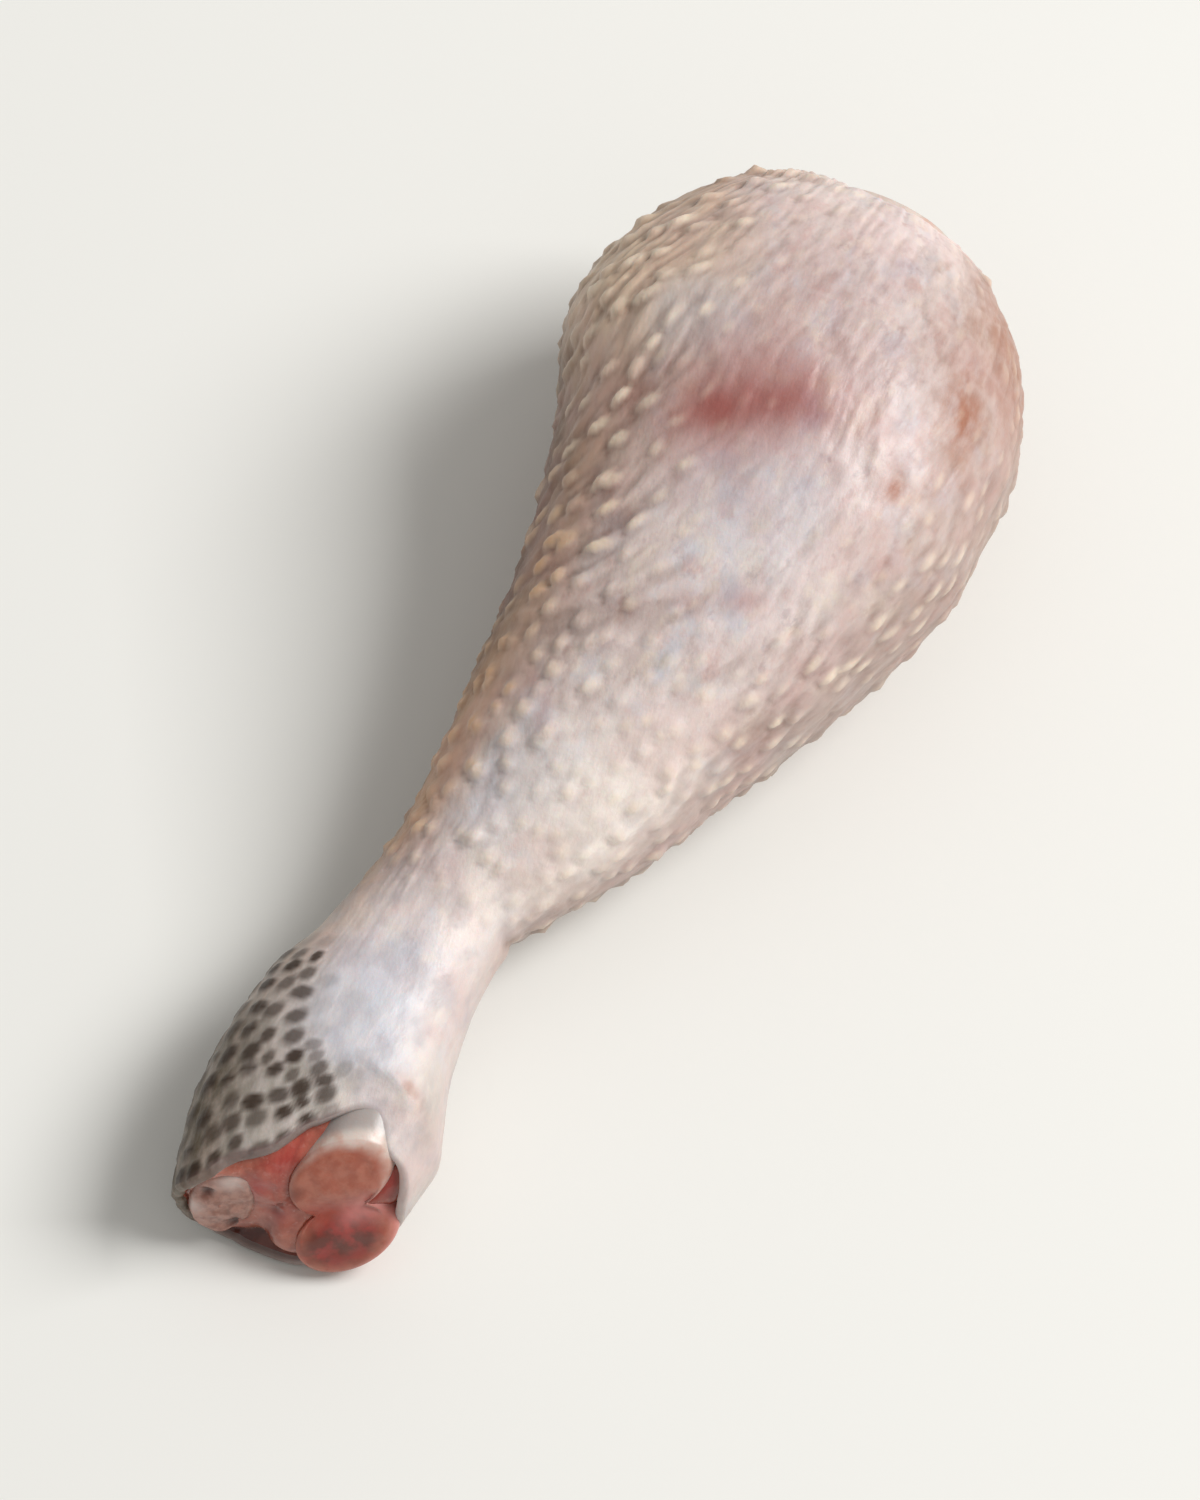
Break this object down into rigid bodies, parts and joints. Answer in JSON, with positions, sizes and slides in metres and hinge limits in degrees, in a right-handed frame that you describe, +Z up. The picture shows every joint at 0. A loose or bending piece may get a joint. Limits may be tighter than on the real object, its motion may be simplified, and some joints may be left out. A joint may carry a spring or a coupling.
{
  "type": "raw chicken drumstick",
  "caption": "Raw, skin-on lower leg of a chicken, lying on its side, with the shin bone and tendons showing at the cut hock and the cut knee.",
  "frame": {"origin": "centre of the bounding box on the surface the drumstick lies on", "axes": "+X along the leg from the hock to the knee, +Y towards the calf and heel, -Y towards the shin, +Z up from the surface"},
  "size_m": [0.1406, 0.0566, 0.0435],
  "materials": {
    "skin": "moist, slightly translucent raw skin, pink-grey and cream, with dark scales at the hock",
    "bone": "moist cut bone, red spongy middle with a pale cartilage rim",
    "tendon": "moist, pale pink cut tendon"
  },
  "bodies": {
    "root": {"skin_and_meat": "skin", "shin_bone": "bone", "heel_tendons": "tendon"}
  },
  "joints": []
}
